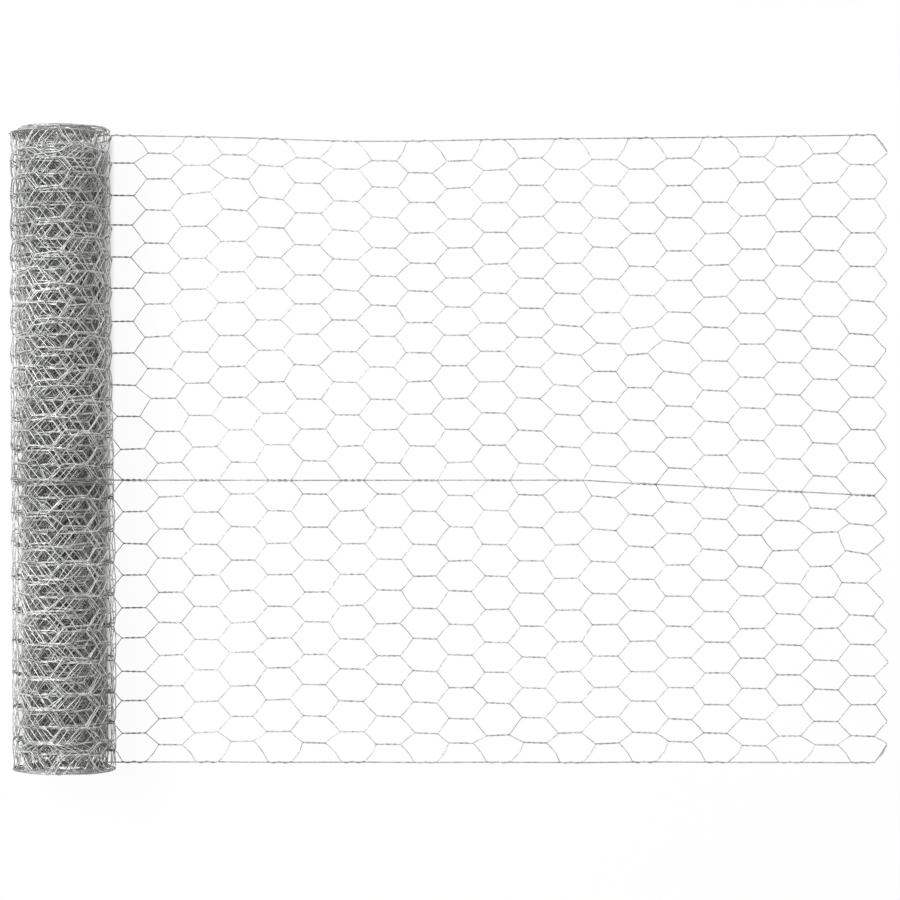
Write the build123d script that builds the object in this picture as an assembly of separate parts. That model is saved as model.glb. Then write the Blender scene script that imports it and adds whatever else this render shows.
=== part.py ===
from build123d import *
import os
from math import exp, floor, hypot, sin

# A roll of hexagonal wire netting on its side on the floor, with its free end unrolled flat.
# Units are millimetres. +Z is up and Z = 0 is the floor. +Y runs along the roll, and +X from the
# roll to the free end. The origin is under the middle of the whole object.

# Netting, across its width: rows of twists from the far edge at +Y to the near edge at -Y
mesh_size = 25.3  # from one twist to the next in the same column
edge_mesh = 22.3  # the same at both edges
edge_twist = 14.2  # from an edge to the first twist that doesn't hold the edge wire
far_meshes = 11  # from the middle wire to the far edge
near_meshes = 9  # from the middle wire to the near edge

# Netting, along its length: columns of twists from the roll to the free end
first_column = 13.6  # middle of the first flat twists, from the roll's axis
column_pitch = 29.45
column_count = 22
twist_length = 19.5  # of two wires wound together
split_column = 11  # the flat stretch is in two lengths, which meet halfway along these twists

wire_diameter = 0.7
line_wire_diameter = 0.9  # of the straight wires along both edges and the middle
line_wire_tail = 1.2  # of a straight wire past its last twist

# Roll
bore_diameter = 30.0
turn_count = 25
turn_pitch = 1.02
turn_gap = 0.28  # between the edge wires of neighbouring turns
turn_groove = 1.5  # depth of those gaps on the ends of the roll
turn_scatter = 4.5  # most that one turn's edge lies back from the roll's end
outer_turn_back = 5.0  # how far the outermost turn's edge lies back, where it is pulled narrow
seat_clearance = 0.05  # between the roll and the flat stretch under it

# How the flat stretch has been pulled out of its true lattice
edge_sag = 3.4  # of the far edge towards the middle, halfway along
edge_dip = 2.2  # more of it, at one place
dip_place = 0.37  # share of the way to the free end
dip_reach = 0.13
sag_depth = 85.0  # across the netting, over which the sag fades
middle_droop = 13.0  # of the middle wire towards -Y, at the free end
droop_start = 0.62  # share of the way to the free end
near_skew = 9.5  # of the near half towards +X, at the roll
skew_middle = 25.0  # Y halfway through the skew
skew_width = 100.0  # across the netting, over which it grows
row_scatter = 0.95
column_scatter = 0.7
end_scatter = 0.5  # of one end of a twist against its other end
line_share = 0.2  # share of the scatter that the stiffer straight wires take


class Dent:
    """A place where the netting was knocked or pulled, from the roll's axis and the middle."""

    def __init__(self, x, y, push_x, push_y, reach):
        self.x, self.y = x, y
        self.push_x, self.push_y = push_x, push_y
        self.reach = reach


dents = [
    Dent(x=426.0, y=92.0, push_x=4.5, push_y=-4.0, reach=26.0),
    Dent(x=462.0, y=78.0, push_x=-4.0, push_y=4.5, reach=24.0),
    Dent(x=632.0, y=-92.0, push_x=-8.0, push_y=2.0, reach=26.0),
    Dent(x=606.0, y=-66.0, push_x=2.5, push_y=6.0, reach=20.0),
    Dent(x=122.0, y=206.0, push_x=3.5, push_y=3.0, reach=26.0),
    Dent(x=290.0, y=180.0, push_x=3.0, push_y=-3.5, reach=80.0),
    Dent(x=460.0, y=170.0, push_x=1.5, push_y=-4.0, reach=100.0),
    Dent(x=640.0, y=120.0, push_x=0.0, push_y=-3.5, reach=70.0),
    Dent(x=80.0, y=150.0, push_x=-2.5, push_y=0.0, reach=80.0),
    Dent(x=160.0, y=50.0, push_x=-1.0, push_y=3.0, reach=90.0),
    Dent(x=330.0, y=25.0, push_x=-1.0, push_y=3.0, reach=80.0),
    Dent(x=400.0, y=-80.0, push_x=-3.5, push_y=-1.0, reach=100.0),
    Dent(x=570.0, y=-65.0, push_x=-3.0, push_y=0.0, reach=60.0),
    Dent(x=390.0, y=-165.0, push_x=0.0, push_y=-2.0, reach=70.0),
    Dent(x=170.0, y=-225.0, push_x=-1.5, push_y=2.5, reach=80.0),
    Dent(x=430.0, y=-235.0, push_x=0.0, push_y=2.0, reach=80.0),
]

wire_radius = wire_diameter / 2
line_radius = line_wire_diameter / 2
netting_thickness = 2 * wire_diameter
netting_width = 2 * edge_mesh + (far_meshes + near_meshes - 2) * mesh_size
far_row = 0
middle_row = 2 * far_meshes
near_row = middle_row + 2 * near_meshes
line_rows = (far_row, middle_row, near_row)
free_end = first_column + column_count * column_pitch - twist_length / 2
bore_radius = bore_diameter / 2
roll_radius = bore_radius + turn_count * turn_pitch - turn_gap
roll_length = netting_width + 2 * (line_radius + wire_diameter)


def scatter(column, row, kind):
    """A repeatable number from -1 to 1 for one place in the netting."""
    value = sin(column * 12.9898 + row * 78.233 + kind * 37.719) * 43758.5453
    return 2 * (value - floor(value)) - 1


def row_y(row):
    """Y of a row in the true lattice. Two rows make one mesh, and row 0 is the far edge."""
    if row > near_row / 2:
        return -row_y(near_row - row)
    if row == 0:
        return netting_width / 2
    if row == 1:
        return netting_width / 2 - edge_twist
    return netting_width / 2 - edge_mesh - (row - 2) * mesh_size / 2


def rise(value):
    """A smooth step from 0 to 1."""
    value = min(max(value, 0.0), 1.0)
    return value * value * (3 - 2 * value)


def pulled(x, row):
    """Where a place on one row lies in netting that has been pulled about."""
    y = row_y(row)
    along = min(max(x / free_end, 0.0), 1.0)
    dip = edge_dip * exp(-(((along - dip_place) / dip_reach) ** 2))
    sag = edge_sag * 4 * along * (1 - along) + dip
    pulled_y = y - sag * exp(-(((row_y(far_row) - y) / sag_depth) ** 2))
    edge_y = row_y(far_row) if row < middle_row else row_y(near_row)
    late = max(0.0, along - droop_start) / (1 - droop_start)
    pulled_y -= middle_droop * late * (edge_y - y) / (edge_y - row_y(middle_row))
    pulled_x = x + near_skew * (1 - along) * rise((skew_middle - y) / skew_width + 0.5)
    if row not in line_rows:
        for dent in dents:
            near = exp(-((x - dent.x) ** 2 + (y - dent.y) ** 2) / dent.reach**2)
            pulled_x += dent.push_x * near
            pulled_y += dent.push_y * near
    return pulled_x, pulled_y


def corner(column, row, side):
    """The end towards the roll (side -1) or the free end (side 1) of the twist at one place."""
    x, y = pulled(first_column + column * column_pitch + side * twist_length / 2, row)
    share = line_share if row in line_rows else 1.0
    x += share * (column_scatter * scatter(column, row, 1) + end_scatter * scatter(column, row, 3 + side))
    y += share * (row_scatter * scatter(column, row, 5) + end_scatter * scatter(column, row, 7 + side))
    return x, y


def twist_side(row):
    """From a twist's middle line to its side. On a straight wire, one wire lies along each side."""
    return line_radius + wire_diameter if row in line_rows else wire_diameter


def mitred(edges):
    """Corners of a closed outline. Each edge is a start, an end and how far to its right it runs."""
    lines = []
    for start, end, shift in edges:
        length = hypot(end[0] - start[0], end[1] - start[1])
        run = (end[0] - start[0]) / length, (end[1] - start[1]) / length
        lines.append((start[0] + run[1] * shift, start[1] - run[0] * shift, run))
    corners = []
    for index, (x, y, run) in enumerate(lines):
        last_x, last_y, last_run = lines[index - 1]
        turn = last_run[0] * run[1] - last_run[1] * run[0]
        step = 0.0
        if abs(turn) > 1e-9:
            step = ((last_x - x) * last_run[1] - (last_y - y) * last_run[0]) / -turn
        corners.append((x + run[0] * step, y + run[1] * step))
    return corners


def polygon(points):
    """A closed wire through points on the floor."""
    return Wire.make_polygon([Vector(x, y) for x, y in points], close=True)


def mesh_opening(column, row):
    """The clear opening of one whole mesh, between the twists of a row and the next but one."""
    top_left, top_right = corner(column, row, -1), corner(column, row, 1)
    low_left, low_right = corner(column, row + 2, -1), corner(column, row + 2, 1)
    left_tip, right_tip = corner(column - 1, row + 1, 1), corner(column + 1, row + 1, -1)
    return mitred(
        [
            (top_left, top_right, twist_side(row)),
            (top_right, right_tip, wire_radius),
            (right_tip, low_right, wire_radius),
            (low_right, low_left, twist_side(row + 2)),
            (low_left, left_tip, wire_radius),
            (left_tip, top_left, wire_radius),
        ]
    )


def side_along_line(row, inward):
    """Edges of a panel along a straight wire, towards +X, dipping into each half mesh beside it."""
    first_tip = corner(-1, row, 1)
    edges = [((first_tip[0] - 1, first_tip[1]), first_tip, line_radius * inward)]
    for column in range(0, column_count, 2):
        held_end, next_held = corner(column - 1, row, 1), corner(column + 1, row, -1)
        twist_start, twist_end = corner(column, row + inward, -1), corner(column, row + inward, 1)
        edges.append((held_end, twist_start, -wire_radius * inward))
        edges.append((twist_start, twist_end, -wire_diameter * inward))
        edges.append((twist_end, next_held, -wire_radius * inward))
        edges.append((held_end, next_held, line_radius * inward))
        edges.append((next_held, corner(column + 1, row, 1), line_radius * inward))
        if column + 2 < column_count:
            edges.append((corner(column + 1, row, 1), corner(column + 3, row, -1), line_radius * inward))
    return edges


def half_panel(top_row, low_row):
    """The flat netting between two straight wires, as one flat face with an opening in each mesh."""
    last = column_count - 1
    free_tips = []
    roll_tips = []
    for row in range(top_row, low_row + 1):
        held = (row - top_row) % 2 == 0
        free_tips.append(corner(last, row, 1) if held else corner(last + 1, row, -1))
        roll_tips.append(corner(-1, row, 1) if held else corner(0, row, -1))
    edges = side_along_line(top_row, 1)
    for start, end in zip(free_tips, free_tips[1:]):
        edges.append((start, end, -wire_radius))
    for start, end, shift in reversed(side_along_line(low_row, -1)):
        edges.append((end, start, -shift))
    roll_tips.reverse()
    for start, end in zip(roll_tips, roll_tips[1:]):
        edges.append((start, end, -wire_radius))
    openings = []
    for column in range(column_count):
        for row in range(top_row + (column + 1) % 2, low_row - 1, 2):
            openings.append(polygon(mesh_opening(column, row)))
    return Face(polygon(mitred(edges)), openings)


def straight_wire(row):
    """An edge wire or the middle wire, straight from twist to twist."""
    points = [corner(-1, row, 1)]
    for column in range(1, column_count, 2):
        points += [corner(column, row, -1), corner(column, row, 1)]
    (last_x, last_y), (end_x, end_y) = points[-2:]
    tail = line_wire_tail / hypot(end_x - last_x, end_y - last_y)
    points.append((end_x + (end_x - last_x) * tail, end_y + (end_y - last_y) * tail))
    edges = [(points[0], (points[0][0], points[0][1] + 1), 0.0)]
    for start, end in zip(points, points[1:]):
        edges.append((start, end, -line_radius))
    edges.append((points[-1], (points[-1][0], points[-1][1] - 1), 0.0))
    points.reverse()
    for start, end in zip(points, points[1:]):
        edges.append((start, end, -line_radius))
    lowest = (netting_thickness - line_wire_diameter) / 2
    return Pos(0, 0, lowest) * extrude(Face(polygon(mitred(edges))), line_wire_diameter, (0, 0, 1))


def flat_lengths(top_row, low_row):
    """The flat netting between two straight wires, cut into the length by the roll and the rest."""
    panel = extrude(half_panel(top_row, low_row), netting_thickness, (0, 0, 1))
    cut_x = first_column + split_column * column_pitch
    side = 4 * (free_end + netting_width)
    return [panel & Pos(cut_x + turn * side / 2, 0, 0) * Box(side, side, side) for turn in (-1, 1)]


def end_profile():
    """The turns' edges where they show on one end of the roll, as radius and height over its end."""
    points = []
    for turn in range(turn_count):
        inside = bore_radius + turn * turn_pitch
        lie_back = turn_scatter * abs(scatter(turn, 0, 9))
        if turn == 0:
            lie_back = 0.0
        if turn == turn_count - 1:
            lie_back = outer_turn_back
        points += [(inside, -lie_back), (inside + turn_pitch - turn_gap, -lie_back)]
        if turn + 1 < turn_count:
            bottom = -turn_scatter - turn_groove
            points += [(inside + turn_pitch - turn_gap, bottom), (inside + turn_pitch, bottom)]
    return points


def netting_roll():
    """The wound netting as one turned solid, lying on the flat stretch with its axis along Y."""
    profile = end_profile()
    points = [(radius, roll_length / 2 + height) for radius, height in profile]
    points += [(radius, -roll_length / 2 - height) for radius, height in reversed(profile)]
    outline = Wire.make_polygon([Vector(radius, along) for radius, along in points], close=True)
    axis_height = netting_thickness + seat_clearance + roll_radius
    return Pos(0, 0, axis_height) * revolve(Face(outline), Axis.Y)


far_near_roll, far_free_end = flat_lengths(far_row, middle_row)
near_near_roll, near_free_end = flat_lengths(middle_row, near_row)
pieces = {
    "netting_roll": netting_roll(),
    "flat_netting_far_by_roll": far_near_roll,
    "flat_netting_far_free_end": far_free_end,
    "flat_netting_near_by_roll": near_near_roll,
    "flat_netting_near_free_end": near_free_end,
    "far_edge_wire": straight_wire(far_row),
    "middle_wire": straight_wire(middle_row),
    "near_edge_wire": straight_wire(near_row),
}
boxes = [piece.bounding_box() for piece in pieces.values()]
middle_x = (min(box.min.X for box in boxes) + max(box.max.X for box in boxes)) / 2
middle_y = (min(box.min.Y for box in boxes) + max(box.max.Y for box in boxes)) / 2
os.makedirs("parts", exist_ok=True)
for name, piece in pieces.items():
    export_step(Pos(-middle_x, -middle_y, 0) * piece, f"parts/{name}.step")
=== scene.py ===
from math import atan, exp, floor, pi, sin

import bpy
import numpy as np
from bpy.props import FloatProperty, FloatVectorProperty, IntProperty, PointerProperty
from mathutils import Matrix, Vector


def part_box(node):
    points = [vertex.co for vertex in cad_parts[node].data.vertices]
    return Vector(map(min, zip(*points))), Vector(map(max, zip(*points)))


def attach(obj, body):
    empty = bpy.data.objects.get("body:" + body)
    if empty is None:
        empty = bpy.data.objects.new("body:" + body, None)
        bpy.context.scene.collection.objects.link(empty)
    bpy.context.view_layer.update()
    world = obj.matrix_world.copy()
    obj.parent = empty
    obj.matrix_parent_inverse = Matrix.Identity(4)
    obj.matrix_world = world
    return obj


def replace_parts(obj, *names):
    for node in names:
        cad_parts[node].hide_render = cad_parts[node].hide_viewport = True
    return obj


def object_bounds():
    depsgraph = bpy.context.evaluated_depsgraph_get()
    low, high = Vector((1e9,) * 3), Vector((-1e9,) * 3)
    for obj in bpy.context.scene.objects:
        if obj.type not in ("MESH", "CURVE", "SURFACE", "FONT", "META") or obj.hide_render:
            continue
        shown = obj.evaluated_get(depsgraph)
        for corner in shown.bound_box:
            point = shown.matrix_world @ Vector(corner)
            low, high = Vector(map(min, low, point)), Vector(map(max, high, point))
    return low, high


bl_info = {
    "name": "Roll of Wire Netting",
    "version": (1, 0, 0),
    "blender": (4, 5, 0),
    "location": "3D View > Sidebar > Netting",
    "description": "A roll of galvanised hexagonal wire netting with its free end unrolled flat",
    "category": "Add Mesh",
}

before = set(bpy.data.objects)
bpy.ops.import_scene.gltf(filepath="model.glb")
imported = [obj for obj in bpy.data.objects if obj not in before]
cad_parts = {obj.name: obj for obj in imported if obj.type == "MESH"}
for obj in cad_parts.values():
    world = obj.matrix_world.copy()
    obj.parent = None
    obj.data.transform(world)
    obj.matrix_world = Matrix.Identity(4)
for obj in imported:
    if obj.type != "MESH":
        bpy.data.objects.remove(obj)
CAD_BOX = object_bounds()
ROLL_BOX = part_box("netting_roll")

# The roll's axis runs along Y, at this X and height
AXIS_X = (ROLL_BOX[0].x + ROLL_BOX[1].x) / 2
AXIS_Z = (ROLL_BOX[0].z + ROLL_BOX[1].z) / 2
ROLL_RADIUS = (ROLL_BOX[1].x - ROLL_BOX[0].x) / 2
BOX_MARGIN = 0.75  # from the CAD box to the middle of a wire, in diameters of a mesh wire

BODY = "root"

# Columns of twists are numbered towards the free end. 0 is the first flat one, and the wound ones
# are below 0. The roll's outer and middle turns start at these.
OUTER_FROM = -33
MIDDLE_FROM = -88

# Sides of the tubes, then steps along a twist with the turns that its wires make
FLAT_SIDES = 6
WOUND_SIDES = 4
LINE_SIDES = 6
FLAT_TWIST = (16, 2)
OUTER_TWIST = (13, 2)
INNER_TWIST = (5, 1)
LINE_STEP = 0.006  # least between the points of a long straight run

# Wires between their twists
BOW = 0.0005  # most that a wire bows to one side
EDGE_BOW = 0.0017  # how far it bows towards the free end beside an edge wire
EDGE_BOW_SCATTER = 0.4  # share by which one of those bows differs from the next
BEND = 0.0012  # from the end of a twist to the end of the bend there
TOUCH = 1.03  # of a wire's radius, so that wires wound together don't cut into each other

# Kinds of scatter, so that each measure at one place gets a number of its own. The side, -1 or 1, is
# added to those of ends and of BOWED.
ALONG = 1
END_ALONG = 3
ACROSS = 5
END_ACROSS = 7
BOWED = 11
EDGE_BOWED = 13

# How the netting lies. Lengths are in metres, and places on the roll in turns from the floor.
TURN_STEPS = 72
SEATED = 0.25  # where the roll's own radius is reached
SETTLED = 0.3  # where the roll's own unevenness is reached
LOOSE_UNTIL = 0.8  # where the turns begin to get tighter
LOOSE_FADE = 2.2  # turns that this takes
LIFT = 0.0010  # most that the flat netting stands off the floor
RIPPLE = 0.0004  # most that a turn lies in or out of the roll's even shape
RIPPLE_SLANT = 19  # radians for each metre across
FLAT_SIDE = 0.75  # where a turn faces the flat netting, as a share of it
BULGE_TURNS = 6  # over which the bulge fades
FLARE_FROM = 0.8
EVENING = 0.4  # share of the telescoping that the near end is without

# Zinc
BROAD_PATCHES = 14.0  # in a metre
FINE_GRAINS = 2600.0  # in a metre
BROAD_SHARE = 0.45  # of the broad patches against the small ones
DULL_FROM = 0.58
BRIGHT_FROM = 0.88
DULL_ROUGHENING = 0.14
BRIGHT_SMOOTHING = -0.16
METALLIC = 0.3
GRAIN_STRENGTH = 0.25
GRAIN_DEPTH = 0.00006

# Floor. A painted shade under the roll fades between two shares of its radius or half its length.
WHITE = (1.0, 1.0, 1.0, 1.0)
FLOOR_PAINT = (0.85, 0.85, 0.85, 1.0)
# Colour of the painted shade on the floor under the roll
PAINTED_SHADE_UNDER_ROLL = (0.02, 0.02, 0.02, 1.0)
FLOOR_WIDTH = 8.0
PLAIN_WHITE = 0.95  # share of the floor's white that takes no shadow
SHADE_LEFT = (0.7, 1.04)
SHADE_RIGHT = (0.6, 0.94)
SHADE_ENDS = (0.88, 1.0)


def length(name, description, default):
    """A size in metres that the user can change."""
    return FloatProperty(
        name=name, description=description, default=default, precision=5, subtype="DISTANCE"
    )


def number(name, description, default):
    """A share or a strength that the user can change."""
    return FloatProperty(name=name, description=description, default=default)


def watts(name, description, default):
    """A lamp's power in watts that the user can change."""
    return FloatProperty(name=name, description=description, default=default, unit="POWER")


def count(name, description, default):
    """A whole number that the user can change."""
    return IntProperty(name=name, description=description, default=default)


def color(name, description, default):
    """A colour that the user can change."""
    return FloatVectorProperty(name=name, description=description, subtype="COLOR", default=default)


class NettingLattice(bpy.types.PropertyGroup):
    """The true lattice of the netting, as it leaves the machine."""

    mesh_size: length("Mesh", "From one twist to the next in the same column", 0.0253)
    edge_mesh: length("Edge mesh", "The same at both edges", 0.0223)
    edge_twist: length("Edge twist", "From an edge to the first twist without the edge wire", 0.0142)
    far_meshes: count("Far meshes", "From the middle wire to the far edge", 11)
    near_meshes: count("Near meshes", "From the middle wire to the near edge", 9)
    first_column: length("First column", "Middle of the first flat twists, from the roll's axis", 0.0136)
    column_pitch: length("Column pitch", "From one column of twists to the next", 0.02945)
    column_count: count("Columns", "Columns of twists that lie flat", 22)
    twist_length: length("Twist", "Length of two wires wound together", 0.0195)
    wire_diameter: length("Wire", "Diameter of the mesh wires", 0.0007)
    line_wire_diameter: length("Straight wire", "Diameter of the edge wires and the middle wire", 0.0009)


class PulledShape(bpy.types.PropertyGroup):
    """How the flat stretch has been pulled out of its true lattice."""

    edge_sag: length("Edge sag", "Of the far edge towards the middle, halfway along", 0.0034)
    edge_dip: length("Edge dip", "More of the sag, at one place", 0.0022)
    dip_place: number("Dip place", "Share of the way to the free end", 0.37)
    dip_reach: number("Dip reach", "As a share of the flat length", 0.13)
    sag_depth: length("Sag depth", "Across the netting, over which the sag fades", 0.085)
    middle_droop: length("Middle droop", "Of the middle wire towards -Y, at the free end", 0.013)
    droop_start: number("Droop start", "Share of the way to the free end", 0.62)
    near_skew: length("Near skew", "Of the near half towards +X, at the roll", 0.0095)
    skew_middle: length("Skew middle", "Y halfway through the skew", 0.025)
    skew_width: length("Skew width", "Across the netting, over which the skew grows", 0.1)
    row_scatter: length("Row scatter", "Of a twist across the netting", 0.00095)
    column_scatter: length("Column scatter", "Of a twist along the netting", 0.0007)
    end_scatter: length("End scatter", "Of one end of a twist against its other end", 0.0005)
    line_share: number("Straight share", "Share of the scatter that the straight wires take", 0.2)


class RollShape(bpy.types.PropertyGroup):
    """How the netting is wound."""

    turn_count: count("Turns", "Turns of netting on the roll", 25)
    wound_columns: count("Wound columns", "Columns of twists on the roll", 145)
    tight_radius: length("Tight radius", "Where the tight turns would end", 0.0391)
    inner_radius: length("Inner radius", "Of the last turn, round the bore", 0.0173)
    looseness: length("Looseness", "Of the first turns over the tight ones", 0.0011)
    yaw: length("Yaw", "Each end of the roll against the middle, along X", 0.0018)
    twist_flatness: length("Twist flatness", "Of a twist's middle below a true turn", 0.0009)
    narrowing: length("Narrowing", "Of the far half of the first turn, pulled tight", 0.0042)
    telescoping: length("Telescoping", "Of one turn's edge against the next", 0.0045)
    slip: length("Slip", "Of one turn along the roll against the next", 0.0026)
    shift: length("Shift", "Of the whole roll towards -Y, against the flat netting", 0.0009)
    bulge: length("Bulge", "Of the first turns on the side of the flat netting", 0.0023)
    flare: length("Flare", "Of the turns under the first one, at the near end", 0.0009)
    disorder: number("Disorder", "Scatter on the roll against the flat", 1.7)


class WireLook(bpy.types.PropertyGroup):
    """The finish of the zinc on the wires, and the painted shade that darkens it piece by piece."""

    bright_zinc: color("Bright zinc", "Colour of clean zinc", (0.78, 0.79, 0.775))
    dull_zinc: color("Dull zinc", "Colour of weathered zinc", (0.36, 0.37, 0.355))
    # Painted shade: the same zinc is darkened piece by piece by these factors, deepest on the inner
    # turns and the straight wires. They stand in for the shade inside the roll and for the light that
    # each piece gets.
    flat_painted_shade: number("Flat wires", "Brightness of their zinc", 0.78)
    outer_painted_shade: number("Outer turns", "Brightness of their zinc", 1.0)
    middle_painted_shade: number("Middle turns", "Brightness of their zinc", 0.9)
    inner_painted_shade: number("Inner turns", "Brightness of their zinc", 0.64)
    line_painted_shade: number("Straight wires", "Brightness of their zinc", 0.6)
    grain_size: length("Grain", "Size of the zinc's patches", 0.004)
    roughness: number("Roughness", "Of clean zinc", 0.36)


class StudioSetup(bpy.types.PropertyGroup):
    """The camera over the netting, and the light."""

    camera_height: length("Camera height", "Over the floor", 2.093)
    camera_x: length("Camera X", "Over the object", -0.0028)
    camera_y: length("Camera Y", "Over the object", -0.0013)
    view_width: length("View width", "Of the floor in the picture", 0.7175)
    key_strength: watts("Key light", "Power of the lamp on the left", 57.0)
    top_strength: watts("Top light", "Power of the lamp over the flat netting", 2.0)
    fill_strength: number("Fill", "Brightness of the surroundings", 0.3)


class Dent:
    """A place where the netting was knocked or pulled, from the roll's axis and the middle."""

    def __init__(self, x, y, push_x, push_y, reach):
        self.x, self.y = x, y
        self.push_x, self.push_y = push_x, push_y
        self.reach = reach


DENTS = [
    Dent(x=0.426, y=0.092, push_x=0.0045, push_y=-0.004, reach=0.026),
    Dent(x=0.462, y=0.078, push_x=-0.004, push_y=0.0045, reach=0.024),
    Dent(x=0.632, y=-0.092, push_x=-0.008, push_y=0.002, reach=0.026),
    Dent(x=0.606, y=-0.066, push_x=0.0025, push_y=0.006, reach=0.02),
    Dent(x=0.122, y=0.206, push_x=0.0035, push_y=0.003, reach=0.026),
    Dent(x=0.29, y=0.18, push_x=0.003, push_y=-0.0035, reach=0.08),
    Dent(x=0.46, y=0.17, push_x=0.0015, push_y=-0.004, reach=0.1),
    Dent(x=0.64, y=0.12, push_x=0.0, push_y=-0.0035, reach=0.07),
    Dent(x=0.08, y=0.15, push_x=-0.0025, push_y=0.0, reach=0.08),
    Dent(x=0.16, y=0.05, push_x=-0.001, push_y=0.003, reach=0.09),
    Dent(x=0.33, y=0.025, push_x=-0.001, push_y=0.003, reach=0.08),
    Dent(x=0.4, y=-0.08, push_x=-0.0035, push_y=-0.001, reach=0.1),
    Dent(x=0.57, y=-0.065, push_x=-0.003, push_y=0.0, reach=0.06),
    Dent(x=0.39, y=-0.165, push_x=0.0, push_y=-0.002, reach=0.07),
    Dent(x=0.17, y=-0.225, push_x=-0.0015, push_y=0.0025, reach=0.08),
    Dent(x=0.43, y=-0.235, push_x=0.0, push_y=0.002, reach=0.08),
]


def scatter(column, row, kind):
    """A repeatable number from -1 to 1 for one place in the netting."""
    value = sin(column * 12.9898 + row * 78.233 + kind * 37.719) * 43758.5453
    return 2 * (value - floor(value)) - 1


def rise(value):
    """A smooth step from 0 to 1."""
    value = min(max(value, 0.0), 1.0)
    return value * value * (3 - 2 * value)


def arch(share):
    """From 0 at both ends to 1 halfway."""
    return 4 * share * (1 - share)


def wave(place, rate, phase):
    """A wave between -1 and 1. Its rate is in radians for each metre or turn."""
    return np.sin(place * rate + phase)


def bell(place, middle, reach):
    """1 in the middle, and hardly anything at twice the reach."""
    return np.exp(-(((place - middle) / reach) ** 2))


def grown(place, over):
    """From 0 to 1 over this many metres or turns."""
    return np.clip(place / over, 0, 1)


def twist_detail(column):
    """Steps along a twist and turns in it: fine where it shows, plain inside the roll."""
    if column >= 0:
        return FLAT_TWIST
    if column >= OUTER_FROM:
        return OUTER_TWIST
    return INNER_TWIST


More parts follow.
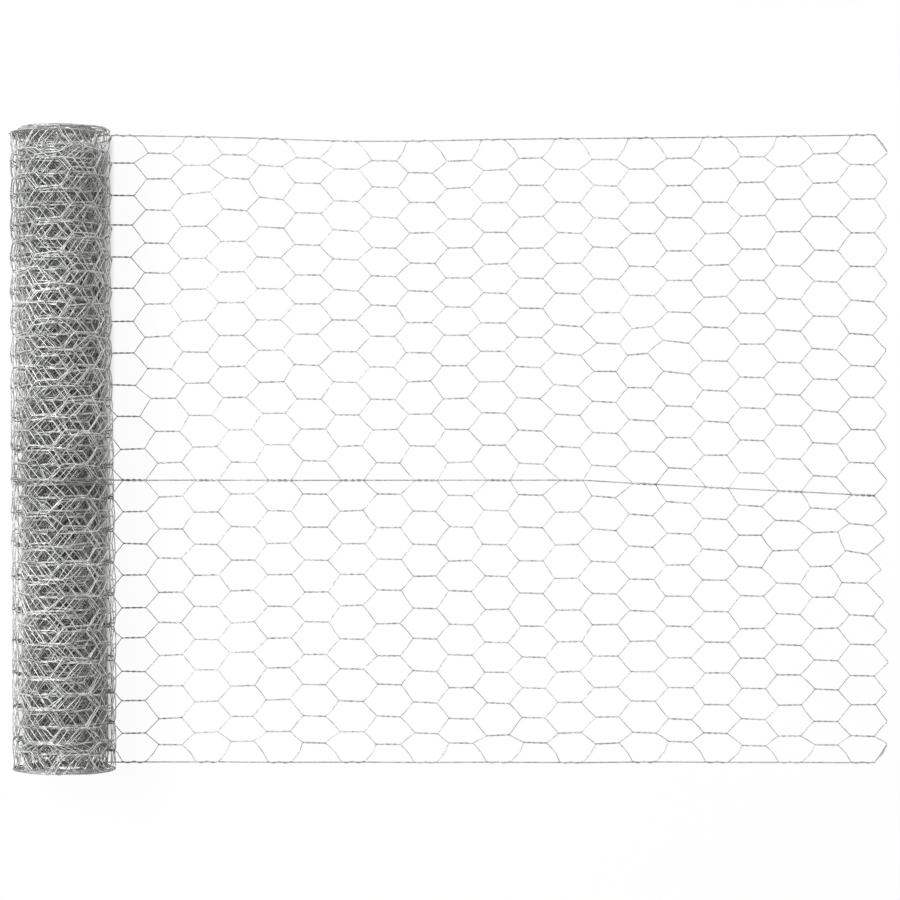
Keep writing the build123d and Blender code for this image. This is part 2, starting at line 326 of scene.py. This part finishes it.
class Netting:
    """Where every wire of the netting runs, as if it were all unrolled on the floor."""

    def __init__(self, scene):
        self.size = scene.netting_lattice
        self.shape = scene.netting_pulled
        self.first_wound = -scene.netting_roll.wound_columns
        self.disorder = scene.netting_roll.disorder
        self.twist_flatness = scene.netting_roll.twist_flatness
        self.middle_row = 2 * self.size.far_meshes
        self.near_row = self.middle_row + 2 * self.size.near_meshes
        self.line_rows = (0, self.middle_row, self.near_row)
        meshes = self.size.far_meshes + self.size.near_meshes
        self.width = 2 * self.size.edge_mesh + (meshes - 2) * self.size.mesh_size
        flat_pitches = self.size.column_count * self.size.column_pitch
        self.free_end = self.size.first_column + flat_pitches - self.size.twist_length / 2
        self.wire_radius = self.size.wire_diameter / 2
        self.line_radius = self.size.line_wire_diameter / 2
        self.corners = {}

    def row_y(self, row):
        """Y of a row in the true lattice. Two rows make one mesh, and row 0 is the far edge."""
        if row > self.near_row / 2:
            return -self.row_y(self.near_row - row)
        if row == 0:
            return self.width / 2
        if row == 1:
            return self.width / 2 - self.size.edge_twist
        return self.width / 2 - self.size.edge_mesh - (row - 2) * self.size.mesh_size / 2

    def pulled(self, x, row):
        """Where a place on one row lies in netting that has been pulled about."""
        shape = self.shape
        y = self.row_y(row)
        along = min(max(x / self.free_end, 0.0), 1.0)
        dip = shape.edge_dip * exp(-(((along - shape.dip_place) / shape.dip_reach) ** 2))
        sag = shape.edge_sag * arch(along) + dip
        pulled_y = y - sag * exp(-(((self.row_y(0) - y) / shape.sag_depth) ** 2))
        edge_y = self.row_y(0) if row < self.middle_row else self.row_y(self.near_row)
        late = max(0.0, along - shape.droop_start) / (1 - shape.droop_start)
        pulled_y -= shape.middle_droop * late * (edge_y - y) / (edge_y - self.row_y(self.middle_row))
        skewed = rise((shape.skew_middle - y) / shape.skew_width + 0.5)
        pulled_x = x + shape.near_skew * (1 - along) * skewed
        if row not in self.line_rows:
            for dent in DENTS:
                near = exp(-((x - dent.x) ** 2 + (y - dent.y) ** 2) / dent.reach**2)
                pulled_x += dent.push_x * near
                pulled_y += dent.push_y * near
        return pulled_x, pulled_y

    def corner(self, column, row, side):
        """The end towards the roll (side -1) or the free end (side 1) of the twist at one place."""
        key = (column, row, side)
        if key not in self.corners:
            shape = self.shape
            middle = self.size.first_column + column * self.size.column_pitch
            x, y = self.pulled(middle + side * self.size.twist_length / 2, row)
            share = shape.line_share if row in self.line_rows else 1.0
            if column < -1:
                share *= self.disorder
            x += share * shape.column_scatter * scatter(column, row, ALONG)
            x += share * shape.end_scatter * scatter(column, row, END_ALONG + side)
            y += share * shape.row_scatter * scatter(column, row, ACROSS)
            y += share * shape.end_scatter * scatter(column, row, END_ACROSS + side)
            self.corners[key] = np.array((x, y, self.height(row)))
        return self.corners[key]

    def height(self, row):
        """How high a row's twists lie over the floor. They are thicker round a straight wire."""
        held = row in self.line_rows
        return self.size.wire_diameter + (self.line_radius if held else 0.0)

    def reach(self, row):
        """From a twist's middle line to the middle of a wire wound in it."""
        held = row in self.line_rows
        return self.wire_radius * TOUCH + (self.line_radius if held else 0.0)

    def twisted(self, column, row, side):
        """Points of a wire along one twist. It starts on this side of the twist's middle line."""
        steps, wraps = twist_detail(column)
        start, end = self.corner(column, row, -1), self.corner(column, row, 1)
        reach = self.reach(row)
        points = []
        for step in range(steps + 1):
            share = step / steps
            angle = 2 * pi * wraps * share
            point = start + (end - start) * share
            point[1] += side * reach * np.cos(angle)
            point[2] += side * reach * np.sin(angle)
            if column < 0:
                point[2] += self.twist_flatness * arch(share)
            points.append(point)
        return points

    def crossing(self, leave, goal, column, rows, side):
        """Points of a wire between two twists of the next columns, without its ends."""
        run = goal - leave
        span = np.linalg.norm(run)
        sideways = np.array((-run[1], run[0], 0.0)) / span
        bow = sideways * BOW * scatter(column, rows[0], BOWED + side)
        if set(rows) & {0, self.near_row}:
            uneven = 1 + EDGE_BOW_SCATTER * scatter(column, rows[0], EDGE_BOWED)
            bow = np.array((EDGE_BOW * uneven, 0.0, 0.0))
        bend = BEND / span
        return [leave + run * share + bow * arch(share) for share in (bend, 0.5, 1 - bend)]

    def mesh_wire(self, wire):
        """Points of one mesh wire from inside the roll to its tip, and where each column starts."""
        points = []
        starts = []
        for column in range(self.first_wound, self.size.column_count):
            starts.append(len(points))
            upper = (wire + column) % 2 == 0
            side = 1.0 if upper else -1.0
            rows = (wire + 1, wire) if upper else (wire, wire + 1)
            points += self.twisted(column, rows[0], side)
            goal = self.corner(column + 1, rows[1], -1).copy()
            goal[1] -= side * self.reach(rows[1])
            points += self.crossing(points[-1], goal, column, rows, side)
        points.append(goal)
        return np.array(points), starts

    def straight_wire(self, row):
        """Points of an edge wire or the middle wire, from inside the roll to its bent end."""
        ends = []
        for column in range(self.first_wound, self.size.column_count):
            if column % 2:
                ends += [self.corner(column, row, -1), self.corner(column, row, 1)]
        if row != self.middle_row:
            inward = 1 if row == 0 else -1
            tip = self.corner(self.size.column_count, row + inward, -1).copy()
            tip[1] += inward * self.size.line_wire_diameter
            ends.append(tip)
        points = []
        for start, end in zip(ends, ends[1:]):
            steps = max(2, int(np.linalg.norm(end - start) / LINE_STEP))
            points += [start + (end - start) * step / steps for step in range(steps)]
        points.append(ends[-1])
        return np.array(points)


class Winding:
    """Carries points of the unrolled netting to where they lie, flat or on the roll."""

    def __init__(self, scene, netting):
        self.shape = scene.netting_roll
        self.half_width = netting.width / 2
        self.margin = netting.size.wire_diameter * BOX_MARGIN
        last_turn = self.shape.turn_count + 1
        self.turns = np.linspace(0.0, last_turn, last_turn * TURN_STEPS)
        self.radius = np.array([self.turn_radius(turn) for turn in self.turns])
        steps = 2 * pi * np.diff(self.turns) * (self.radius[1:] + self.radius[:-1]) / 2
        self.wound = np.concatenate([[0.0], np.cumsum(steps)])

    def turn_radius(self, turn):
        """Outside of even netting after so many turns from the floor."""
        shape = self.shape
        tight = shape.tight_radius + (shape.inner_radius - shape.tight_radius) * turn / shape.turn_count
        loose = shape.looseness * (1 - rise((turn - LOOSE_UNTIL) / LOOSE_FADE))
        seat = (AXIS_Z - shape.tight_radius - shape.looseness) * (1 - rise(turn / SEATED))
        return tight + loose + seat

    def outside(self, turn, across, share):
        """Outside of the uneven netting, from the roll's axis."""
        shape = self.shape
        ripple = RIPPLE * wave(turn, rate=17.1, phase=across * RIPPLE_SLANT) * grown(turn, over=0.4)
        bulge = shape.bulge * bell(turn % 1, middle=FLAT_SIDE, reach=0.15) * np.exp(-turn / BULGE_TURNS)
        flare = shape.flare * grown(turn - FLARE_FROM, over=1.0) * (0.5 - 0.5 * share)
        return np.interp(turn, self.turns, self.radius) - ripple + bulge + flare

    def moved(self, turn, share):
        """How far wound netting lies off its own Y. The share is 1 at the far edge, -1 at the near."""
        shape = self.shape
        nearness = 0.5 - 0.5 * share
        pulled_in = shape.narrowing * bell(turn, middle=0.6, reach=1.0) * (1 - nearness)
        telescoped = shape.telescoping * (0.4 + 0.6 * wave(turn, rate=5.7, phase=0.8 + share))
        telescoped = telescoped * (1 - EVENING * nearness) * (1 - nearness * np.exp(-turn))
        slip = shape.slip * wave(turn, rate=4.6, phase=0.4) * (1 - share**4) - shape.shift
        return (slip - share * (pulled_in + telescoped)) * grown(turn, over=SETTLED)

    def place(self, points):
        """Points where they lie, and the direction out of the netting's upper side at each."""
        along, across, height = points.T
        turn = np.interp(-along, self.wound, self.turns)
        share = across / self.half_width
        angle = 2 * pi * turn
        radius = self.outside(turn, across, share) - height
        yaw = self.shape.yaw * share * grown(turn, over=SETTLED)
        waves = wave(along, rate=31, phase=1.7) * wave(across, rate=23, phase=0.6)
        lift = LIFT * (0.5 + 0.5 * waves) * grown(along, over=0.05)
        x = AXIS_X - radius * np.sin(angle) - yaw + np.maximum(along, 0.0)
        y = across + self.moved(turn, share)
        z = AXIS_Z - radius * np.cos(angle) + lift
        place = np.stack([x, y, z], axis=1)
        lowest = np.array(CAD_BOX[0]) + self.margin
        highest = np.array(CAD_BOX[1]) - self.margin
        upper_side = np.stack([np.sin(angle), np.zeros_like(angle), np.cos(angle)], axis=1)
        return np.clip(place, lowest, highest), upper_side


def tube_rings(path, upper_side, radius, sides):
    """Rings of points round a path, with the girth of a round wire."""
    run = np.gradient(path, axis=0)
    run /= np.linalg.norm(run, axis=1, keepdims=True)
    left = np.cross(upper_side, run)
    left /= np.linalg.norm(left, axis=1, keepdims=True)
    over = np.cross(run, left)
    angles = 2 * pi * np.arange(sides) / sides
    radius = radius * pi / (sides * sin(pi / sides))
    leftward = np.cos(angles)[None, :, None] * left[:, None, :]
    upward = np.sin(angles)[None, :, None] * over[:, None, :]
    return path[:, None, :] + radius * (leftward + upward)


class WireMesh:
    """Closed tubes, gathered into one mesh."""

    def __init__(self):
        self.points = []
        self.faces = []
        self.count = 0

    def add(self, rings):
        """One tube from its rings, closed at both ends."""
        ring_count, sides, _ = rings.shape
        index = self.count + np.arange(ring_count * sides).reshape(ring_count, sides)
        after = np.roll(index, -1, axis=1)
        quads = np.stack([index[:-1], after[:-1], after[1:], index[1:]], axis=-1).reshape(-1, 4)
        self.faces += quads.tolist()
        self.faces.append(index[0][::-1].tolist())
        self.faces.append(index[-1].tolist())
        self.points.append(rings.reshape(-1, 3))
        self.count += ring_count * sides

    def piece(self, name, material):
        """The mesh as one object that rides on the part's one body."""
        mesh = bpy.data.meshes.new(name)
        mesh.from_pydata(np.concatenate(self.points).tolist(), [], self.faces)
        mesh.shade_smooth()
        mesh.materials.append(material)
        piece = bpy.data.objects.new(name, mesh)
        bpy.context.scene.collection.objects.link(piece)
        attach(piece, BODY)
        return piece


def build_mesh_wires(scene, jobs, sides, tone):
    """Mesh wires as one piece for each job: its name, its first and last columns, and its wires."""
    netting = Netting(scene)
    winding = Winding(scene, netting)
    # The material carries the painted shade of these pieces
    material = zinc_material(f"zinc_on_{jobs[0][0]}", scene.netting_look, tone)
    meshes = [WireMesh() for job in jobs]
    for wire in range(netting.near_row):
        points, starts = netting.mesh_wire(wire)
        starts.append(len(points) - 1)
        path, upper_side = winding.place(points)
        rings = tube_rings(path, upper_side, netting.wire_radius, sides)
        for mesh, (_, first, last, wires) in zip(meshes, jobs):
            if wire in wires:
                start = starts[first - netting.first_wound]
                end = starts[last + 1 - netting.first_wound]
                mesh.add(rings[start : end + 1])
    return [mesh.piece(name, material) for mesh, (name, *_) in zip(meshes, jobs)]


def calculate(nodes, links, operation, *values):
    """The result of a math node. Each value is a number or a socket."""
    node = nodes.new("ShaderNodeMath")
    node.operation = operation
    for value, socket in zip(values, node.inputs):
        if isinstance(value, float):
            socket.default_value = value
        else:
            links.new(value, socket)
    return node.outputs["Value"]


def share_between(nodes, links, value, start, end):
    """A map range node that goes from 0 where the value is start to 1 where it is end."""
    node = nodes.new("ShaderNodeMapRange")
    node.inputs["From Min"].default_value = start
    node.inputs["From Max"].default_value = end
    links.new(value, node.inputs["Value"])
    return node


def mixed_color(nodes, links, share):
    """A mix of two colours, for sockets A and B to be filled in."""
    node = nodes.new("ShaderNodeMix")
    node.data_type = "RGBA"
    links.new(share, node.inputs["Factor"])
    return node


def noise(nodes, links, place, detail):
    """A noise texture over the surface."""
    node = nodes.new("ShaderNodeTexNoise")
    node.inputs["Detail"].default_value = detail
    links.new(place, node.inputs["Vector"])
    return node


def new_group(name, inputs, outputs):
    """An empty shader node group with these sockets, and its input and output nodes."""
    group = bpy.data.node_groups.new(name, "ShaderNodeTree")
    for socket, kind in inputs:
        group.interface.new_socket(socket, in_out="INPUT", socket_type=kind)
    for socket, kind in outputs:
        group.interface.new_socket(socket, in_out="OUTPUT", socket_type=kind)
    return group, group.nodes.new("NodeGroupInput"), group.nodes.new("NodeGroupOutput")


def zinc_coat_group():
    """Zinc in patches of bright and dull, with a fine grain and a broad change of tone."""
    found = bpy.data.node_groups.get("zinc_coat")
    if found:
        return found
    inputs = [
        ("Place", "NodeSocketVector"),
        ("Patches per metre", "NodeSocketFloat"),
        ("Bright", "NodeSocketColor"),
        ("Dull", "NodeSocketColor"),
        ("Roughness", "NodeSocketFloat"),
    ]
    outputs = [
        ("Color", "NodeSocketColor"),
        ("Roughness", "NodeSocketFloat"),
        ("Grain", "NodeSocketFloat"),
    ]
    group, source, sink = new_group("zinc_coat", inputs, outputs)
    nodes, links = group.nodes, group.links
    place = source.outputs["Place"]

    patches = noise(nodes, links, place, detail=3.0)
    links.new(source.outputs["Patches per metre"], patches.inputs["Scale"])
    broad = noise(nodes, links, place, detail=2.0)
    broad.inputs["Scale"].default_value = BROAD_PATCHES
    fine = noise(nodes, links, place, detail=2.0)
    fine.inputs["Scale"].default_value = FINE_GRAINS

    weighted = calculate(nodes, links, "MULTIPLY", broad.outputs["Fac"], BROAD_SHARE)
    tone = calculate(nodes, links, "ADD", weighted, patches.outputs["Fac"])
    bright = share_between(nodes, links, tone, DULL_FROM, BRIGHT_FROM).outputs["Result"]
    mix = mixed_color(nodes, links, bright)
    links.new(source.outputs["Dull"], mix.inputs["A"])
    links.new(source.outputs["Bright"], mix.inputs["B"])
    roughest = calculate(nodes, links, "ADD", source.outputs["Roughness"], DULL_ROUGHENING)
    roughness = calculate(nodes, links, "MULTIPLY_ADD", bright, BRIGHT_SMOOTHING, roughest)

    links.new(mix.outputs["Result"], sink.inputs["Color"])
    links.new(roughness, sink.inputs["Roughness"])
    links.new(fine.outputs["Fac"], sink.inputs["Grain"])
    return group


def zinc_material(name, look, tone):
    """Galvanised wire, with its zinc darkened by a factor of painted shade for its piece."""
    material = bpy.data.materials.new(name)
    material.use_nodes = True
    nodes, links = material.node_tree.nodes, material.node_tree.links
    shader = nodes["Principled BSDF"]
    shader.inputs["Metallic"].default_value = METALLIC
    place = nodes.new("ShaderNodeTexCoord")
    coat = nodes.new("ShaderNodeGroup")
    coat.node_tree = zinc_coat_group()
    coat.inputs["Patches per metre"].default_value = 1 / look.grain_size
    # The tone is a factor of painted shade on both zinc colours
    coat.inputs["Bright"].default_value = (*[channel * tone for channel in look.bright_zinc], 1.0)
    coat.inputs["Dull"].default_value = (*[channel * tone for channel in look.dull_zinc], 1.0)
    coat.inputs["Roughness"].default_value = look.roughness
    links.new(place.outputs["Object"], coat.inputs["Place"])
    links.new(coat.outputs["Color"], shader.inputs["Base Color"])
    links.new(coat.outputs["Roughness"], shader.inputs["Roughness"])
    bump = nodes.new("ShaderNodeBump")
    bump.inputs["Strength"].default_value = GRAIN_STRENGTH
    bump.inputs["Distance"].default_value = GRAIN_DEPTH
    links.new(coat.outputs["Grain"], bump.inputs["Height"])
    links.new(bump.outputs["Normal"], shader.inputs["Normal"])
    return material


class NETTING_OT_flat_wires(bpy.types.Operator):
    """Add the mesh wires of the flat stretch"""

    bl_idname = "netting.flat_wires"
    bl_label = "Flat mesh wires"

    def execute(self, context):
        size = context.scene.netting_lattice
        last = size.column_count - 1
        far_wires = range(2 * size.far_meshes)
        near_wires = range(2 * size.far_meshes, 2 * (size.far_meshes + size.near_meshes))
        jobs = [
            ("flat_mesh_wires_far", 0, last, far_wires),
            ("flat_mesh_wires_near", 0, last, near_wires),
        ]
        # Painted shade of the flat wires, as a factor on their zinc
        tone = context.scene.netting_look.flat_painted_shade
        far, near = build_mesh_wires(context.scene, jobs, FLAT_SIDES, tone)
        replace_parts(far, "flat_netting_far_by_roll", "flat_netting_far_free_end")
        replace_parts(near, "flat_netting_near_by_roll", "flat_netting_near_free_end")
        return {"FINISHED"}


class NETTING_OT_wound_wires(bpy.types.Operator):
    """Add the mesh wires that are wound on the roll"""

    bl_idname = "netting.wound_wires"
    bl_label = "Wound mesh wires"

    def execute(self, context):
        scene = context.scene
        look = scene.netting_look
        size = scene.netting_lattice
        first = -scene.netting_roll.wound_columns
        wires = range(2 * (size.far_meshes + size.near_meshes))
        # Each run of turns gets its own painted shade, darker further into the roll
        runs = (
            ("roll_mesh_wires_outer_turns", OUTER_FROM, -1, look.outer_painted_shade),
            ("roll_mesh_wires_middle_turns", MIDDLE_FROM, OUTER_FROM - 1, look.middle_painted_shade),
            ("roll_mesh_wires_inner_turns", first, MIDDLE_FROM - 1, look.inner_painted_shade),
        )
        for name, start, end, tone in runs:
            [piece] = build_mesh_wires(scene, [(name, start, end, wires)], WOUND_SIDES, tone)
            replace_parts(piece, "netting_roll")
        return {"FINISHED"}


class NETTING_OT_straight_wires(bpy.types.Operator):
    """Add the two edge wires and the middle wire, flat and wound"""

    bl_idname = "netting.straight_wires"
    bl_label = "Straight wires"

    def execute(self, context):
        scene = context.scene
        netting = Netting(scene)
        winding = Winding(scene, netting)
        look = scene.netting_look
        # The straight wires' zinc is darkened by their painted shade
        material = zinc_material("zinc_on_straight_wire", look, look.line_painted_shade)
        names = ("far_edge_line_wire", "middle_line_wire", "near_edge_line_wire")
        nodes = ("far_edge_wire", "middle_wire", "near_edge_wire")
        for name, node, row in zip(names, nodes, netting.line_rows):
            path, upper_side = winding.place(netting.straight_wire(row))
            mesh = WireMesh()
            mesh.add(tube_rings(path, upper_side, netting.line_radius, LINE_SIDES))
            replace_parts(mesh.piece(name, material), node)
        return {"FINISHED"}


def white_to_camera(nodes, links, shaded, white):
    """Shows white to the camera, in reflections and through glass, and the shaded one otherwise."""
    light = nodes.new("ShaderNodeLightPath")
    seen = light.outputs["Is Camera Ray"]
    for ray in ("Is Glossy Ray", "Is Transmission Ray"):
        seen = calculate(nodes, links, "MAXIMUM", seen, light.outputs[ray])
    mix = nodes.new("ShaderNodeMixShader")
    links.new(seen, mix.inputs["Fac"])
    links.new(shaded, mix.inputs[1])
    links.new(white, mix.inputs[2])
    return mix.outputs["Shader"]


class NETTING_OT_stage(bpy.types.Operator):
    """Add the white floor, the light and the camera over the netting"""

    bl_idname = "netting.stage"
    bl_label = "Stage"

    def execute(self, context):
        scene = context.scene
        setup = scene.netting_studio
        self.add_floor(scene)
        self.add_surroundings(scene, setup)
        key = self.add_lamp(scene, "key_lamp", size=1.2, power=setup.key_strength)
        self.aim(key, place=(-1.3, 0.5, 1.75), goal=(0.0, 0.0, 0.0))
        top = self.add_lamp(scene, "top_lamp", size=0.5, power=setup.top_strength)
        self.aim(top, place=(0.35, 0.35, 1.1), goal=(0.2, 0.1, 0.0))
        self.add_camera(scene, setup)
        scene.view_settings.view_transform = "Standard"
        return {"FINISHED"}

    def add_camera(self, scene, setup):
        """A camera that looks straight down."""
        camera_data = bpy.data.cameras.new("camera_over_netting")
        camera_data.angle = 2 * atan(setup.view_width / 2 / setup.camera_height)
        camera = bpy.data.objects.new("camera_over_netting", camera_data)
        camera.location = (setup.camera_x, setup.camera_y, setup.camera_height)
        scene.collection.objects.link(camera)
        scene.camera = camera

    def add_floor(self, scene):
        """A wide white floor that keeps a faint share of the real shadows, with a painted shade under
        the roll.
        """
        half = FLOOR_WIDTH / 2
        corners = [(-half, -half, 0), (half, -half, 0), (half, half, 0), (-half, half, 0)]
        mesh = bpy.data.meshes.new("floor")
        mesh.from_pydata(corners, [], [(0, 1, 2, 3)])
        floor = bpy.data.objects.new("floor", mesh)
        material = bpy.data.materials.new("white_floor")
        material.use_nodes = True
        nodes, links = material.node_tree.nodes, material.node_tree.links
        nodes.remove(nodes["Principled BSDF"])
        paint = nodes.new("ShaderNodeBsdfDiffuse")
        paint.inputs["Color"].default_value = FLOOR_PAINT
        glow = nodes.new("ShaderNodeEmission")
        # The floor's white glow carries the painted shade under the roll
        links.new(self.painted_shade_under_roll(nodes, links), glow.inputs["Color"])
        keep = nodes.new("ShaderNodeMixShader")
        keep.inputs["Fac"].default_value = PLAIN_WHITE
        links.new(paint.outputs["BSDF"], keep.inputs[1])
        links.new(glow.outputs["Emission"], keep.inputs[2])
        shown = white_to_camera(nodes, links, paint.outputs["BSDF"], keep.outputs["Shader"])
        links.new(shown, nodes["Material Output"].inputs["Surface"])
        mesh.materials.append(material)
        scene.collection.objects.link(floor)

    def painted_shade_under_roll(self, nodes, links):
        """Painted shade: white, but dark where the roll stands on the floor."""
        place = nodes.new("ShaderNodeTexCoord")
        split = nodes.new("ShaderNodeSeparateXYZ")
        links.new(place.outputs["Object"], split.inputs["Vector"])
        half = CAD_BOX[1].y
        spans = (
            ("X", *[AXIS_X - ROLL_RADIUS * share for share in SHADE_LEFT]),
            ("X", *[AXIS_X + ROLL_RADIUS * share for share in SHADE_RIGHT]),
            ("Y", *[half * share for share in SHADE_ENDS]),
            ("Y", *[-half * share for share in SHADE_ENDS]),
        )
        # Share of the floor that lies outside the painted shade
        outside_painted_shade = 0.0
        for axis, dark, white in spans:
            fade = share_between(nodes, links, split.outputs[axis], dark, white)
            fade.interpolation_type = "SMOOTHSTEP"
            outside_painted_shade = calculate(nodes, links, "MAXIMUM", outside_painted_shade, fade.outputs["Result"])
        mix = mixed_color(nodes, links, outside_painted_shade)
        mix.inputs["A"].default_value = PAINTED_SHADE_UNDER_ROLL
        mix.inputs["B"].default_value = WHITE
        return mix.outputs["Result"]

    def add_surroundings(self, scene, setup):
        """A plain bright room, white where the camera looks past the floor."""
        world = bpy.data.worlds.new("bright_room")
        world.use_nodes = True
        nodes, links = world.node_tree.nodes, world.node_tree.links
        room = nodes["Background"]
        room.inputs["Strength"].default_value = setup.fill_strength
        room.inputs["Color"].default_value = WHITE
        white = nodes.new("ShaderNodeBackground")
        white.inputs["Color"].default_value = WHITE
        shown = white_to_camera(nodes, links, room.outputs["Background"], white.outputs["Background"])
        links.new(shown, nodes["World Output"].inputs["Surface"])
        scene.world = world

    def add_lamp(self, scene, name, size, power):
        """A square soft lamp."""
        lamp_data = bpy.data.lights.new(name, "AREA")
        lamp_data.size = size
        lamp_data.energy = power
        lamp = bpy.data.objects.new(name, lamp_data)
        scene.collection.objects.link(lamp)
        return lamp

    def aim(self, lamp, place, goal):
        """Hang a lamp at a place and point it at the goal."""
        lamp.location = place
        lamp.rotation_euler = (Vector(goal) - lamp.location).to_track_quat("-Z", "Y").to_euler()


class NETTING_PT_panel(bpy.types.Panel):
    """The sizes and the pieces, in the 3D view's sidebar"""

    bl_idname = "NETTING_PT_panel"
    bl_label = "Roll of wire netting"
    bl_space_type = "VIEW_3D"
    bl_region_type = "UI"
    bl_category = "Netting"

    def draw(self, context):
        for name in SETTINGS:
            settings = getattr(context.scene, name)
            box = self.layout.box()
            for entry in settings.bl_rna.properties:
                if not entry.is_readonly and entry.identifier != "name":
                    box.prop(settings, entry.identifier)
        for operator in OPERATORS:
            self.layout.operator(operator.bl_idname)


SETTINGS = {
    "netting_lattice": NettingLattice,
    "netting_pulled": PulledShape,
    "netting_roll": RollShape,
    "netting_look": WireLook,
    "netting_studio": StudioSetup,
}
OPERATORS = (
    NETTING_OT_flat_wires,
    NETTING_OT_wound_wires,
    NETTING_OT_straight_wires,
    NETTING_OT_stage,
)


def register():
    """Add the settings, the operators and the panel."""
    for group in SETTINGS.values():
        bpy.utils.register_class(group)
    for cls in (*OPERATORS, NETTING_PT_panel):
        bpy.utils.register_class(cls)
    for name, group in SETTINGS.items():
        setattr(bpy.types.Scene, name, PointerProperty(type=group))


def unregister():
    """Take them away again."""
    for name in SETTINGS:
        delattr(bpy.types.Scene, name)
    for cls in (NETTING_PT_panel, *OPERATORS, *SETTINGS.values()):
        bpy.utils.unregister_class(cls)


def main():
    """Build the stage and every piece."""
    register()
    bpy.ops.netting.stage()
    bpy.ops.netting.flat_wires()
    bpy.ops.netting.wound_wires()
    bpy.ops.netting.straight_wires()


if __name__ == "__main__":
    main()
